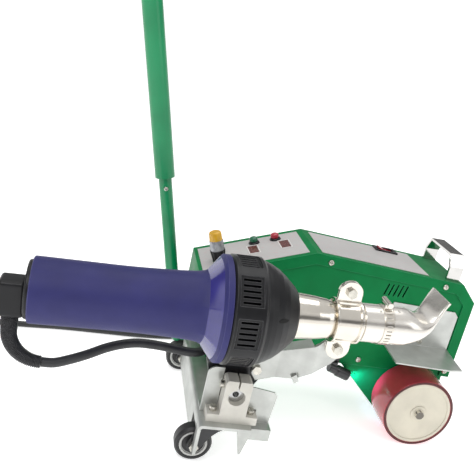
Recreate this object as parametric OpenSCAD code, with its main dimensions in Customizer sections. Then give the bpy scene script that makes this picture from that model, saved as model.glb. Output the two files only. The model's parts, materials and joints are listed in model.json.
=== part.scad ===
// Self-propelled hot-air seam welder with a silicone seam roller.
// Frame: +X is the direction of travel, +Y runs from the gun side to the far side, +Z is up.
// The machine stands on two casters at the back and one driven roller at the front.

/* [Machine case] */
// Length of the green case
case_len = 308.5; // [300:0.5:320]
// Depth of the green case
case_depth = 74; // [70:1:80]
// Height of the roof ridge above the floor
ridge_z = 191.5; // [188:0.5:196]
// Thickness of the case sheet
sheet_t = 1.5; // [1:0.1:2]

/* [Roller] */
// Radius of the seam roller
roller_r = 40; // [38:0.5:41]
// Width of the seam roller
roller_w = 41; // [36:1:41]
// Thickness of the silicone tread
tread_t = 3.5; // [2:0.5:6]

/* [Platform and casters] */
// Height of the top of the platform sheet
platform_z = 50; // [48:0.5:52]
// Thickness of the platform sheet
platform_t = 3; // [2:0.5:4]
// Radius of a caster wheel
wheel_r = 18; // [16:0.5:19]
// Width of a caster wheel
wheel_w = 14; // [12:1:14]

/* [Gun] */
// Radius of the grip barrel
barrel_r = 28; // [26:0.5:29]
// Radius of the air intake ring
ring_r = 48; // [46:0.5:48]
// Nose-up angle of the parked gun
gun_pitch = 2.24; // [0:0.1:3]
// Width of the flat nozzle mouth
mouth_w = 36; // [30:1:38]
// Radius of the guide shaft
shaft_r = 8; // [8:0.5:8]

/* [Pole] */
// Angle of the pole from the vertical
pole_lean = 14.4; // [12:0.1:16]
// Radius of the lower rod
rod_r = 7; // [6:0.5:7]
// Radius of the upper tube
tube_r = 10.5; // [10:0.5:11]
// Length of the upper tube
tube_len = 520; // [400:10:560]

/* [Cords] */
// Diameter of the gun cable
gun_cable_d = 8.4; // [7:0.2:9]
// Diameter of the mains cord
mains_d = 7; // [6:0.5:8]

/* [Hidden] */
$fn = 64;

// Where the machine stands, so that the origin is under the middle of its box
place = [0, 12, 0];

// Colours
green = [0.05, 0.45, 0.22];
zinc = [0.72, 0.74, 0.75];
steel = [0.62, 0.63, 0.65];
black = [0.09, 0.09, 0.10];
blue = [0.20, 0.19, 0.48];
overlay_grey = [0.76, 0.76, 0.75];

// Case outline, seen from the gun side
case_back = -61;
case_front = case_back + case_len;
case_near = 22;
case_far = case_near + case_depth;
case_bottom = 66;
eave_z = 149;
ridge_x = 55.5;
brow_x = case_front - 19.5;
brow_z = ridge_z - 10;
case_outline = [[case_back, 92], [-38, case_bottom], [case_front, case_bottom],
  [case_front, 162], [brow_x, brow_z], [ridge_x, ridge_z], [case_back, eave_z]];
// Top face of the case floor, where the inner parts stand
floor_z = case_bottom + 2 * sheet_t + 0.2;
roof_back_angle = atan2(ridge_z - eave_z, ridge_x - case_back);
roof_front_angle = atan2(brow_z - ridge_z, brow_x - ridge_x);

// Panel parts: distance from the ridge down the rear roof, and y across it
stop_at = [33.6, 78];
start_at = [57.5, 78];
knob_at = [100.6, 48];
display_at = [[31.4, 60], [66.3, 60]];
display_half = 10.5;
// The rocker: distance from the ridge along the front roof, and y
rocker_at = [101, 84];
rocker_axis_z = 0.4;

// Screws in the near side, as x and z
cover_screw_places = [[72.5, 183.5], [207.5, 176], [240, 75]];
panel_screw_place = [134.5, 75];
shield_screw_place = [198, 108];
screw_hole_r = 1.6;

// Where the gun cable enters the case
grommet_x = -50;
grommet_z = 100;

// Roller and drive
roller_x = 202;
roller_near = -20;
motor_x = 150;
motor_z = 110;
axle_r = 6;
leg_top = case_bottom + sheet_t;
case_leg = [[116.4, leg_top], [168, 19], [222, 19], [240, 38], [240, leg_top]];
leg_near = 22.3;
leg_far = 46;

// Guide shaft
shaft_x = -22;
shaft_z = platform_z + 27;
block_near = -87;
block_far = -71;

// Casters
wheel_x = -50.5;
wheel_y = [-73, 89];

// Gun axis: the middle of the intake ring
gun_y = -86;
gun_at = [-46, gun_y, 164.4];

// Pole axis
pole_foot = [-60.5, 90, 42];

// Points of the gun cable, from the boot to the side panel
cable_points = [[-198, -86, 91.6], [-187, -85.5, 92], [-174, -82, 95], [-160, -77, 99],
  [-146, -70, 103], [-132, -65, 106], [-118, -61, 107], [-104, -58.5, 106], [-92, -57, 104.5],
  [-82, -56.4, 103], [-72, -55.6, 101.5], [-63.4, -53.8, 100.6], [-56.4, -49.4, 100],
  [-51.7, -42.4, 100], [-50, -34, 100], [-50, -24, 100], [-50, -10, 100], [-50, 6, 100],
  [-50, 18, 100], [-50, 30, 100]];

// Points of the mains cord, from the gland to the coil
cord_points = [[10, 116.3, 84], [10, 126, 84], [9, 138, 81], [7, 148, 74], [3, 156, 62],
  [-2, 161, 47], [-8, 164, 32], [-15, 165, 19], [-24, 165, 10], [-35, 163, 5],
  [-48, 160, 3.5], [-64, 156, 3.5], [-84, 153, 3.5], [-106, 151, 3.5], [-130, 150, 3.5],
  [-155, 149, 3.5], [-180, 148, 3.5], [-205, 146, 3.5], [-228, 143, 3.5], [-250, 141, 3.5],
  [-270, 140, 3.5], [-290, 140, 3.5], [-310, 140, 3.5]];

// The coil: three turns beside each other in each of three layers
coil_at = [-310, 91, 0];
coil_mid_r = 42;
coil_rows = 3;
coil_in_r = coil_mid_r - coil_rows * mains_d / 2;
coil_out_r = coil_mid_r + coil_rows * mains_d / 2;
coil_h = coil_rows * mains_d;
coil_round = 3;

/* ---------- helpers ---------- */

// Points moved inwards from a convex outline by d
function turn(a) = [a[1], -a[0]] / norm(a);
function inset(p, d) = [for (i = [0:len(p) - 1])
  let (a = p[(i + len(p) - 1) % len(p)], b = p[i], c = p[(i + 1) % len(p)],
    n1 = turn(b - a), n2 = turn(c - b))
  b - d * (n1 + n2) / (1 + n1 * n2)];

// An XZ outline as a solid from y0 to y1
module along_y(y0, y1) translate([0, y1, 0]) rotate([90, 0, 0]) linear_extrude(y1 - y0) children();

// A YZ outline as a solid from x0 to x1
module along_x(x0, x1) translate([x0, 0, 0]) rotate([90, 0, 90]) linear_extrude(x1 - x0) children();

// A round bar along +Y
module y_rod(x, z, y0, y1, r) translate([x, y1, z]) rotate([90, 0, 0]) cylinder(h = y1 - y0, r = r);

// A hexagon bar along +Y
module y_hex(x, z, y0, y1, af) translate([x, y1, z]) rotate([90, 0, 0])
  cylinder(h = y1 - y0, r = af / sqrt(3), $fn = 6);

// A block from corner to corner
module block(a, b) translate(a) cube(b - a);

// Puts a part on the gun axis: z runs to the nozzle, x runs down
module on_gun() translate(gun_at) rotate([0, 90 - gun_pitch, 0]) children();

// Puts a part on the pole axis, z runs up the pole
module on_pole() translate(pole_foot) rotate([0, -pole_lean, 0]) children();

// Puts a part on the rear roof slope at a distance from the ridge, z leaves the roof
module on_back_roof(along, y) translate([ridge_x, y, ridge_z]) rotate([0, -roof_back_angle, 0])
  translate([-along, 0, 0]) children();

// Puts a part on the front roof slope
module on_front_roof(along, y) translate([ridge_x, y, ridge_z]) rotate([0, -roof_front_angle, 0])
  translate([along, 0, 0]) children();

// Rings of points along a route, for a round cord
function unit(v) = v / norm(v);
function way(p, i) = i == 0 ? unit(p[1] - p[0]) :
  i == len(p) - 1 ? unit(p[i] - p[i - 1]) : unit(unit(p[i + 1] - p[i]) + unit(p[i] - p[i - 1]));
function side_of(t) = abs(t[2]) > 0.95 ? unit(cross(t, [1, 0, 0])) : unit(cross(t, [0, 0, 1]));
function ring(c, t, r, n) = let (u = side_of(t), v = cross(t, u))
  [for (k = [0:n - 1]) c + r * (cos(360 * k / n) * u + sin(360 * k / n) * v)];
function spline(a, b, c, d, t) = 0.5 * (2 * b + (c - a) * t + (2 * a - 5 * b + 4 * c - d) * t * t
  + (3 * b - a - 3 * c + d) * t * t * t);
function refine(p, m) = [for (i = [0:len(p) - 2], k = [0:m - 1])
  spline(p[max(i - 1, 0)], p[i], p[i + 1], p[min(i + 2, len(p) - 1)], k / m), p[len(p) - 1]];

// A round cord along a route
module cord(route, d, sides) {
  n = len(route);
  points = [for (i = [0:n - 1]) each ring(route[i], way(route, i), d / 2, sides)];
  polyhedron(points, concat(
    [[for (k = [0:sides - 1]) k]],
    [for (i = [0:n - 2], k = [0:sides - 1]) let (a = i * sides + k, b = i * sides + (k + 1) % sides)
      [a, a + sides, b + sides, b]],
    [[for (k = [sides - 1:-1:0]) (n - 1) * sides + k]]));
}

/* ---------- platform, casters and guide ---------- */

module platform() color(zinc) {
  low = 18;
  top = platform_z;
  t = platform_t;
  difference() {
    along_y(-95, 110) polygon(concat(
      [[-3, top - t], [-3, top]],
      [for (a = [90:15:180]) [-48 + 5 * cos(a), top - 5 + 5 * sin(a)]],
      [[-53, low], [-50, low], [-50, top - 5]],
      [for (a = [165:-15:90]) [-48 + 2 * cos(a), top - 5 + 2 * sin(a)]]));
    for (y = wheel_y)
      block([-56, y - 13, 0], [-49, y + 13, 41]);
    for (x = [-41, -13], y = wheel_y)
      translate([x, y, top - 5]) cylinder(h = 8, r = 2.1);
  }
}

module hex_bolt(r, af, head, length) {
  translate([0, 0, -length]) cylinder(h = length, r = r);
  cylinder(h = head, r = af / sqrt(3), $fn = 6);
}

module chassis_bolts() color(steel) {
  for (x = [-41, -13], y = wheel_y)
    translate([x, y, platform_z - platform_t - 2]) rotate([180, 0, 0]) hex_bolt(2, 7, 3, 4);
  for (y = wheel_y) {
    y_rod(wheel_x, wheel_r, y - 9, y + 12.5, 3);
    y_hex(wheel_x, wheel_r, y - 12.5, y - 9, 8);
  }
  for (x = [-40, -4])
    translate([x, -79, platform_z + 8]) cylinder(h = 4, r = 3.6);
  translate([-34.6, -79, 86]) rotate([0, -90, 0]) cylinder(h = 4, r = 3.4);
  for (x = [-36.3, -7.7], z = [67.6, 88.4])
    y_rod(x, z, 12.9, 15.9, 2.6);
}

module caster_forks() color(black) {
  top = platform_z - platform_t;
  for (y = wheel_y) difference() {
    union() {
      block([-47.9, y - 11, top - 2], [-8, y + 11, top]);
      for (side = [-9, 7.3])
        along_y(y + side, y + side + 1.7)
          polygon(concat([[-8, top], [-47.9, top], [-49.8, top - 6.5]],
            [for (a = [170:20:350]) [wheel_x + 6.5 * cos(a), wheel_r + 6.5 * sin(a)]],
            [[-36, 30], [-30, 36]]));
    }
    y_rod(wheel_x, wheel_r, y - 12, y + 12, 3.05);
    for (x = [-41, -13])
      translate([x, y, top - 5]) cylinder(h = 8, r = 2.1);
  }
}

// A caster wheel: hub, recessed web and a tyre with a rounded tread
module wheel(y) {
  w = wheel_w / 2;
  web = w - 2.5;
  rim = w - 0.8;
  translate([wheel_x, y, wheel_r]) rotate([90, 0, 0]) rotate_extrude() polygon([
    [3.1, -w], [5.5, -w], [5.5, -web], [11.5, -web], [11.5, -rim], [14, -rim], [14.3, -w],
    [16.2, -w], [wheel_r, -web], [wheel_r, web], [16.2, w], [14.3, w], [14, rim], [11.5, rim],
    [11.5, web], [5.5, web], [5.5, w], [3.1, w]]);
}
module near_wheel() color(black) wheel(wheel_y[0]);
module far_wheel() color(black) wheel(wheel_y[1]);

module clamp_block() color(zinc) difference() {
  along_y(block_near, block_far) polygon([[-46, 50], [2, 50], [2, 58], [-9.5, 58], [-9.5, 92],
    [-11.5, 94], [-21.2, 94], [-21.2, 80], [-22.8, 80], [-22.8, 94], [-32.5, 94], [-34.5, 92],
    [-34.5, 58], [-46, 58]]);
  y_rod(shaft_x, shaft_z, block_near - 1, block_far + 1, shaft_r);
}

module guide_shaft() color(steel) difference() {
  y_rod(shaft_x, shaft_z, block_near + 7, 21.8, shaft_r - 0.01);
  y_rod(shaft_x, shaft_z, block_near + 6, block_near + 15, 3);
}

module shaft_flange() color(zinc) difference() {
  union() {
    along_y(15.9, 21.8) polygon([[-40, 66], [-37, 63], [-7, 63], [-4, 66], [-4, 90], [-7, 93],
      [-37, 93], [-40, 90]]);
    y_rod(shaft_x, shaft_z, 9.6, 16, 14);
  }
  y_rod(shaft_x, shaft_z, 9, 22, shaft_r);
}

// The left plate stands behind the clamp block; the right plate is joggled forward of the
// path of the arm and ends in a folded lower flange
module guide_bracket() color(zinc) difference() {
  union() {
    along_y(-70.8, -68.8) polygon(concat([[-50, 50.1], [-50, 88]],
      [for (a = [180:-15:90]) [-42 + 8 * cos(a), 90 + 8 * sin(a)]],
      [[-35, 98], [-35, 62], [4, 62], [4, 45], [-2.8, 45], [-2.8, 50.1]]));
    block([2.4, -75.3, 45], [4, -68.8, 62]);
    along_y(-75.3, -73.8)
      polygon([[-9.2, 60], [2.4, 60], [2.4, 45], [17, 45], [19.5, 76], [16.5, 80], [-9.2, 84]]);
    block([-2.8, -86, 44], [18, -73.8, 46]);
    block([-2.8, -86.5, 34], [18, -85, 46]);
    block([-50, -70, 50.1], [-3, -56, 52]);
  }
  for (x = [-44, -12])
    translate([x, -61, 49]) cylinder(h = 4, r = 2.6);
}

module pointer() color(steel) {
  along_y(-94.5, -92.5) polygon([[-15.5, 47], [-3.5, 47], [-3.5, 44], [-8.6, 22.5], [-10.4, 22.5],
    [-15.5, 44]]);
  block([-15.5, -94, 44.9], [-3.5, -88, 47]);
}

/* ---------- case ---------- */

module base_tray() color(green) difference() {
  union() {
    difference() {
      along_y(case_near + 1.7, case_far - sheet_t - 0.2) polygon(inset(case_outline, sheet_t + 0.2));
      along_y(case_near, case_far - 2 * sheet_t - 0.2)
        polygon(inset(case_outline, 2 * sheet_t + 0.2));
      block([case_back - 1, 0, 95], [case_front, case_far - 2 * sheet_t - 0.2, 240]);
      block([0, 0, 70], [case_front + 1, case_far - 2 * sheet_t - 0.2, 240]);
    }
    for (y = [32, 78])
      difference() {
        block([-34, y, platform_z], [-6, y + 12, 68]);
        block([-32, y - 1, platform_z + 2], [-8, y + 13, 66]);
      }
  }
  block([138, 23, 60], [228, 45, 72]);
  translate([10, case_far + 1, 84]) rotate([90, 0, 0]) cylinder(h = 6, r = 6);
}

module side_panel() color(green) difference() {
  along_y(case_near, case_near + sheet_t) polygon(inset(case_outline, sheet_t + 0.1));
  y_rod(grommet_x, grommet_z, case_near - 1, case_near + 3, 6.5);
  for (i = [0:4])
    translate([140 + 5.5 * i, case_near - 1, 156]) rotate([0, 12, 0]) cube([2, 4, 14]);
  for (p = concat(cover_screw_places, [panel_screw_place, shield_screw_place]))
    y_rod(p[0], p[1], case_near - 1, case_near + 3, screw_hole_r);
}

module top_cover() color(green) {
  lip = 12;
  difference() {
    along_y(case_near - 1.7, case_far + 1.5) polygon(case_outline);
    along_y(case_near - 0.2, case_far) polygon(inset(case_outline, sheet_t));
    along_y(case_near - 3, case_far + 3) polygon(inset(case_outline, lip));
    block([-48, -10, 60], [case_front - lip, 120, 80]);
    block([case_back - 5, -10, 60], [case_front + 5, 120, case_bottom + 1.8]);
    block([case_back - 5, -10, 60], [-20, 120, 93]);
    for (p = cover_screw_places)
      y_rod(p[0], p[1], case_near - 3, case_near, screw_hole_r);
    y_rod(grommet_x, grommet_z, case_near - 3, case_near, 9);
    for (p = [stop_at, start_at, knob_at])
      on_back_roof(p[0], p[1]) translate([0, 0, -3]) cylinder(h = 5, r = 4.2);
    on_front_roof(rocker_at[0], rocker_at[1]) block([-11, -5.2, -3], [11, 5.2, 3]);
    for (p = display_at)
      on_back_roof(p[0], p[1]) block([0, -display_half, -3], [10, display_half, 3]);
  }
}

module pan_head() rotate([90, 0, 0]) {
  cylinder(h = 1.2, r = 3.2);
  translate([0, 0, 1.2]) cylinder(h = 0.8, r1 = 3.2, r2 = 2);
  translate([0, 0, -3]) cylinder(h = 3, r = screw_hole_r - 0.1);
}

module cover_screws() color(steel) {
  for (p = concat(cover_screw_places, [shield_screw_place]))
    translate([p[0], case_near - 1.7, p[1]]) pan_head();
  translate([panel_screw_place[0], case_near, panel_screw_place[1]]) pan_head();
}

module control_overlays() color(overlay_grey) {
  difference() {
    on_back_roof(0, 0) block([-120, 26, 0.02], [-7, 90, 0.5]);
    for (p = [stop_at, start_at])
      on_back_roof(p[0], p[1]) cylinder(h = 2, r = 6.2);
    on_back_roof(knob_at[0], knob_at[1]) cylinder(h = 2, r = 7.2);
    for (p = display_at)
      on_back_roof(p[0], p[1]) block([0, -display_half, -1], [10, display_half, 3]);
  }
  difference() {
    on_front_roof(0, 0) block([7, 26, 0.02], [132, 90, 0.5]);
    on_front_roof(rocker_at[0], rocker_at[1]) block([-13.6, -7.2, -1], [13.6, 7.2, 3]);
  }
}

module display_windows() color([0.22, 0.08, 0.08])
  for (p = display_at) on_back_roof(p[0], p[1])
    block([0.05, 0.05 - display_half, -1.4], [9.95, display_half - 0.05, 0.3]);

module bezel_ring() difference() {
  union() {
    translate([0, 0, -2.6]) cylinder(h = 3, r = 4.15);
    rotate_extrude() polygon([[0, 0.02], [6.1, 0.02], [6.1, 1.4], [5.2, 2.6], [0, 2.6]]);
  }
  translate([0, 0, -3]) cylinder(h = 8, r = 3.45);
  translate([0, 0, 0.5]) cylinder(h = 4, r = 4.8);
}

module panel_bezels() color(black) {
  for (p = [stop_at, start_at]) on_back_roof(p[0], p[1]) bezel_ring();
  on_front_roof(rocker_at[0], rocker_at[1]) difference() {
    union() {
      block([-13.5, -7.1, 0.02], [13.5, 7.1, 2.2]);
      block([-10.9, -5.1, -12], [10.9, 5.1, 1]);
    }
    block([-9.8, -4.3, -10], [9.8, 4.3, 3]);
    y_rod(0, rocker_axis_z, -5, 5, 1.25);
  }
}

module button() {
  rotate_extrude() polygon(concat([[0, -2.4], [3.3, -2.4], [3.3, 0.6], [4.6, 0.6], [4.6, 3]],
    [for (a = [15:15:90]) [4.6 * cos(a), 3 + 2.4 * sin(a)]]));
}
button_rise = 3.2;
module start_button() color([0.03, 0.4, 0.2])
  on_back_roof(start_at[0], start_at[1]) translate([0, 0, button_rise]) button();
module stop_button() color([0.7, 0.08, 0.12])
  on_back_roof(stop_at[0], stop_at[1]) translate([0, 0, button_rise]) button();

module rocker() color([0.6, 0.1, 0.1]) on_front_roof(rocker_at[0], rocker_at[1]) {
  along_y(-4.1, 4.1)
    polygon([[-8.8, 4], [-9.2, 3], [-7, -2.8], [7, -2.8], [9.2, -0.4], [8.8, 0.6], [0, 1.3]]);
  y_rod(0, rocker_axis_z, -4.8, 4.8, 1.2);
}

module speed_knob() on_back_roof(knob_at[0], knob_at[1]) {
  color(black) difference() {
    cylinder(h = 12.6, r1 = 6.6, r2 = 8.4);
    translate([0, 0, -1]) cylinder(h = 6, r = 4);
  }
  color(steel) translate([0, 0, 12.5]) cylinder(h = 10.9, r = 7.4);
  color([0.85, 0.65, 0.1]) translate([0, 0, 23.3]) cylinder(h = 9.7, r1 = 7, r2 = 6.2);
  color(steel) translate([0, 0, -8]) cylinder(h = 14, r = 3.5);
}

module carry_handle() color(zinc) {
  y = [30, 37, 83, 90];
  foot = 183.4;
  top = 208;
  t = 2.6;
  difference() {
    along_x(209, 225) polygon([[y[0] - 3, foot - 1.5], [y[0], foot - 1.5], [y[0] + 0.5, 196],
      [y[1], top], [y[2], top], [y[3] - 0.5, 196], [y[3], foot - 1.5], [y[3] + 3, foot - 1.5],
      [y[3] + 3, 197.3], [y[2] + 1.6, top + t], [y[1] - 1.6, top + t], [y[0] - 3, 197.3]]);
    on_front_roof(0, 0) block([0, 0, -20], [200, 100, 0.05]);
  }
}

/* ---------- drive ---------- */

module chain_case() color(green) difference() {
  union() {
    difference() {
      along_y(leg_near, leg_far) polygon(case_leg);
      along_y(leg_near + 2, leg_far - 2) polygon([[119.4, leg_top + 1],
        [168.8, 21], [221.1, 21], [238, 38.8], [238, leg_top + 1]]);
    }
    difference() {
      union() {
        y_rod(roller_x, roller_r, leg_near + 1, 30, 16.5);
        y_rod(roller_x, roller_r, 38.4, leg_far - 1, 16.5);
      }
      y_rod(roller_x, roller_r, leg_near + 2.1, 31, 14.03);
      y_rod(roller_x, roller_r, 38, leg_far - 2.1, 14.03);
    }
  }
  y_rod(roller_x, roller_r, leg_near - 1, leg_near + 5, 8);
}

module roller_bearings() color(steel) {
  for (y = [[24.5, 32.4], [37.6, 43.8]])
    difference() {
      y_rod(roller_x, roller_r, y[0], y[1], 14);
      y_rod(roller_x, roller_r, y[0] - 1, y[1] + 1, axle_r + 0.05);
      for (e = [y[0] - 1, y[1] - 0.8])
        difference() {
          y_rod(roller_x, roller_r, e, e + 1.8, 12);
          y_rod(roller_x, roller_r, e - 1, e + 3, 8.2);
        }
    }
}

module roller_tread() color([0.55, 0.05, 0.06]) difference() {
  translate([roller_x, roller_near, roller_r]) rotate([-90, 0, 0]) rotate_extrude() polygon([
    [roller_r - tread_t, 0], [roller_r - 1, 0], [roller_r, 1], [roller_r, roller_w - 1],
    [roller_r - 1, roller_w], [roller_r - tread_t, roller_w]]);
}

module roller_hub() color([0.85, 0.83, 0.76]) {
  r = roller_r - tread_t - 0.02;
  translate([roller_x, roller_near, roller_r]) rotate([-90, 0, 0]) rotate_extrude() polygon([
    [0, 0.4], [9, 0.4], [9, 1.4], [r - 3, 1.4], [r - 3, 0.6], [r, 0.6], [r, roller_w - 1],
    [axle_r + 3, roller_w - 1], [axle_r + 3, roller_w + 1], [axle_r, roller_w + 1],
    [axle_r, 63.4], [0, 63.4]]);
  y_hex(roller_x, roller_r, roller_near - 3.6, roller_near + 0.5, 9);
}

module sprocket(x, z, y0, y1, tip, teeth, bore) difference() {
  along_y(y0, y1) translate([x, z]) polygon([for (i = [0:teeth - 1], k = [0:3])
    let (a = 360 * (i + [0, 0.3, 0.42, 0.58][k] - 0.12) / teeth, r = [tip - 2.6, tip - 2.6, tip, tip][k])
    [r * cos(a), r * sin(a)]]);
  y_rod(x, z, y0 - 1, y1 + 1, bore);
}

module roller_sprocket() color(steel)
  sprocket(roller_x, roller_r, 33, 37, 12, 14, axle_r + 0.02);

module motor_sprocket() color(steel) {
  sprocket(motor_x, motor_z, 33, 37, 9, 10, 3.98);
  y_rod(motor_x, motor_z, 31, 45, 4);
}

module drive_chain() color(steel) along_y(33.4, 36.6) difference() {
  hull() {
    translate([roller_x, roller_r]) circle(15.4, $fn = 32);
    translate([motor_x, motor_z]) circle(12.4, $fn = 32);
  }
  hull() {
    translate([roller_x, roller_r]) circle(12.4, $fn = 32);
    translate([motor_x, motor_z]) circle(9.4, $fn = 32);
  }
}

module gear_motor() color(steel) {
  difference() {
    block([128, 40, 88], [172, 62, 132]);
    y_rod(motor_x, motor_z, 39, 46, 4.05);
  }
  y_rod(motor_x, motor_z, 61.9, 88, 19);
  block([130, 56, floor_z], [170, 60, 88.1]);
}

/* ---------- heat shield and lamp ---------- */

module heat_shield() color(zinc) {
  z = 101;
  near = case_near - 1.7;
  difference() {
    along_y(near, near + 1.5)
      polygon([[154.5, z], [233.5, z], [233.5, 143], [229, 148], [154.5, 150]]);
    y_rod(shield_screw_place[0], shield_screw_place[1], near - 1, near + 3, screw_hole_r);
  }
  translate([0, 0, z]) linear_extrude(1.5) polygon([[153, -27], [214, -30], [229.5, -27], [231, -2],
    [233.5, near + 0.1], [154.5, near + 0.1]]);
}

lamp_at = [100, 14, 66];
lamp_tilt = 18;
module on_lamp() translate(lamp_at) rotate([0, 90 + lamp_tilt, 0]) children();
module lamp_body() color(black) {
  on_lamp() difference() {
    rotate_extrude() polygon([[0, 0], [4.6, 0], [5.2, 0.8], [5.2, 9], [6.4, 11], [6.4, 25], [0, 25]]);
    translate([0, 0, 21]) cylinder(h = 6, r = 5.4);
  }
  block([98, 19, 70], [112, 21.9, 78]);
  block([101, 13, 67], [109, 21.9, 72]);
}
module lamp_lens() color([0.8, 0.9, 1]) on_lamp() translate([0, 0, 21.1])
  rotate_extrude() polygon([[0, 0], [5.3, 0], [5.3, 2.6], [3.8, 3.4], [0, 3.8]]);

/* ---------- electrics ---------- */

board_z = 122;
board_posts = [[-8, 30.5], [99, 30.5], [-8, 87], [99, 87]];

// The board with its parts, and the switch and dial bodies that sit behind the control panel
module control_board() color([0.05, 0.3, 0.15]) {
  block([-12, 27, board_z], [103, 91, board_z + 1.6]);
  for (p = [[2, 40, 10, 12], [30, 50, 16, 8], [60, 36, 8, 14], [78, 66, 12, 10]])
    block([p[0], p[1], board_z + 1.5], [p[0] + p[2], p[1] + p[2], board_z + 1.5 + p[3]]);
  for (p = [stop_at, start_at])
    on_back_roof(p[0], p[1]) translate([0, 0, -12]) cylinder(h = 9.3, r = 6);
  on_back_roof(knob_at[0], knob_at[1]) difference() {
    translate([0, 0, -13]) cylinder(h = 11.3, r = 8);
    translate([0, 0, -9]) cylinder(h = 9, r = 3.55);
  }
}

module power_supply() color(steel) {
  block([-4, 34, floor_z], [95, 84, 104]);
  for (p = board_posts)
    translate([p[0], p[1], floor_z]) cylinder(h = board_z - floor_z, r = 2.4);
}

/* ---------- pole ---------- */

module pole_bracket() color(green) difference() {
  union() {
    on_pole() translate([0, 0, 3]) cylinder(h = 27, r = 9.6);
    block([-56.4, 78, 42.5], [-53.1, 106, 48.5]);
    block([-64, 83, 50.1], [-42, 97, 52.1]);
    block([-57, 83, 43], [-53.1, 97, 50.2]);
  }
  block([-53.05, 70, 40], [-40, 110, platform_z + 0.05]);
  on_pole() translate([0, 0, -5]) cylinder(h = 60, r = rod_r);
}

rod_len = 330;
snap_at = 178.5;
module pole_rod() color(green) on_pole() difference() {
  union() {
    cylinder(h = rod_len, r = rod_r - 0.02);
    sphere(r = rod_r - 0.02);
  }
  translate([0, -20, snap_at]) rotate([-90, 0, 0]) cylinder(h = 24, r = 2.3);
}

tube_from = 190;
module pole_tube() color(green) on_pole() difference() {
  translate([0, 0, tube_from]) cylinder(h = tube_len, r = tube_r);
  translate([0, 0, tube_from - 1]) cylinder(h = tube_len - 8, r = rod_r + 0.3);
}

grip_len = 110;
module pole_grip() color(black) on_pole() translate([0, 0, tube_from + tube_len - grip_len])
  rotate_extrude() polygon(concat([[tube_r + 0.02, 0], [14, 0], [15, 1.5]],
    [for (i = [0:10], k = [0:3]) [[15, 13.6, 13.6, 15][k], 6 + 9 * i + [0, 1, 3, 4][k]]],
    [[15, grip_len], [13, grip_len + 3], [0, grip_len + 3], [0, grip_len + 0.1],
      [tube_r + 0.02, grip_len + 0.1]]));

module snap_button() color(steel) on_pole() translate([0, 0, snap_at]) rotate([90, 0, 0]) {
  translate([0, 0, 0.5]) cylinder(h = 7.4, r = 2.2);
  translate([0, 0, 7.9]) cylinder(h = 0.9, r1 = 2.2, r2 = 1.2);
}

/* ---------- cables ---------- */

module cable_grommet() color(black) translate([grommet_x, case_near - 2, grommet_z]) rotate([-90, 0, 0])
  rotate_extrude() polygon([[4.35, 0], [8.5, 0], [8.5, 1.9], [6.4, 1.9], [6.4, 3.6], [8, 3.6],
    [8, 5], [4.35, 5]]);

module gun_cable() color(black) cord(refine(cable_points, 2), gun_cable_d, 10);

module cord_gland() color(black) translate([10, case_far + 0.1, 84]) rotate([-90, 0, 0]) {
  translate([0, 0, 1.5]) cylinder(h = 6, r = 8.6, $fn = 6);
  translate([0, 0, 7.5]) cylinder(h = 12.4, r1 = 6.2, r2 = 4.2);
  translate([0, 0, -3]) cylinder(h = 4.6, r = 5.8);
}

module power_cord() color(black) cord(refine(cord_points, 2), mains_d, 10);

module cord_coil() color(black) translate(coil_at) rotate_extrude()
  let (a = coil_in_r, b = coil_out_r, h = coil_h, c = coil_round)
    polygon([[a + c, 0], [b - c, 0], [b, c], [b, h - c], [b - c, h], [a + c, h], [a, h - c], [a, c]]);

module power_plug() color(black) translate([coil_at[0] - 8, coil_at[1] - 62, 0]) {
  translate([0, 0, 8]) rotate([0, 90, 0]) difference() {
    union() {
      cylinder(h = 30, r = 8);
      translate([0, 0, 28]) cylinder(h = 6, r = 11);
    }
    translate([8, -20, -1]) cube([10, 40, 40]);
  }
  for (y = [-5, 5])
    color(zinc) translate([33.9, y, 8]) rotate([0, 90, 0]) cylinder(h = 18, r = 2.4);
  translate([-15, 0, 8]) rotate([0, 90, 0]) cylinder(h = 15.1, r1 = 4, r2 = 6);
}

/* ---------- gun ---------- */

module slide_bush() color([0.7, 0.55, 0.25]) difference() {
  union() {
    y_rod(shaft_x, shaft_z, -66.5, -45, 11);
    y_rod(shaft_x, shaft_z, -47.4, -45, 15);
  }
  y_rod(shaft_x, shaft_z, -68, -44, shaft_r + 0.03);
}

module pivot_yoke() color([0.16, 0.16, 0.17]) difference() {
  along_y(-64.8, -48) polygon(concat(
    [for (a = [200:20:340]) [shaft_x + 17 * cos(a), shaft_z + 17 * sin(a)]],
    [[-3, 80], [3, 92], [3, 106], [-2, 110], [-14, 112], [-34, 110], [-48, 103], [-51, 97],
      [-47, 84]]));
  y_rod(shaft_x, shaft_z, -66, -47, 11.05);
  y_rod(-5, 99, -66, -47, 2.6);
}

module swing_arm() color(zinc) difference() {
  union() {
    intersection() {
      along_y(-100, -40) polygon([[-9, 108], [-9, 94], [-4, 87], [30, 98], [58, 122], [64, 130],
        [64, 144], [49, 146], [40, 136]]);
      translate([0, 0, 60]) linear_extrude(100) polygon([[-20, -68.2], [14, -68.2], [43, -83.2],
        [70, -83.2], [70, -80.2], [44, -80.2], [15, -65.2], [-20, -65.2]]);
    }
    intersection() {
      along_y(-100, -40) polygon([[-9, 108], [40, 136], [42, 133.6], [-8, 105]]);
      translate([0, 0, 60]) linear_extrude(100) polygon([[-9, -68.2], [14, -68.2], [41, -82.2],
        [41, -66], [15, -55], [4.5, -55], [4.5, -65.2], [-9, -65.2]]);
    }
    along_y(-80.3, -68) polygon([[26, 101.5], [30, 104.7], [34, 98.2], [30, 95]]);
  }
  y_rod(-5, 99, -70, -60, 2.6);
  y_rod(58, 140.45, -90, -76, 2.6);
}

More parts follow.
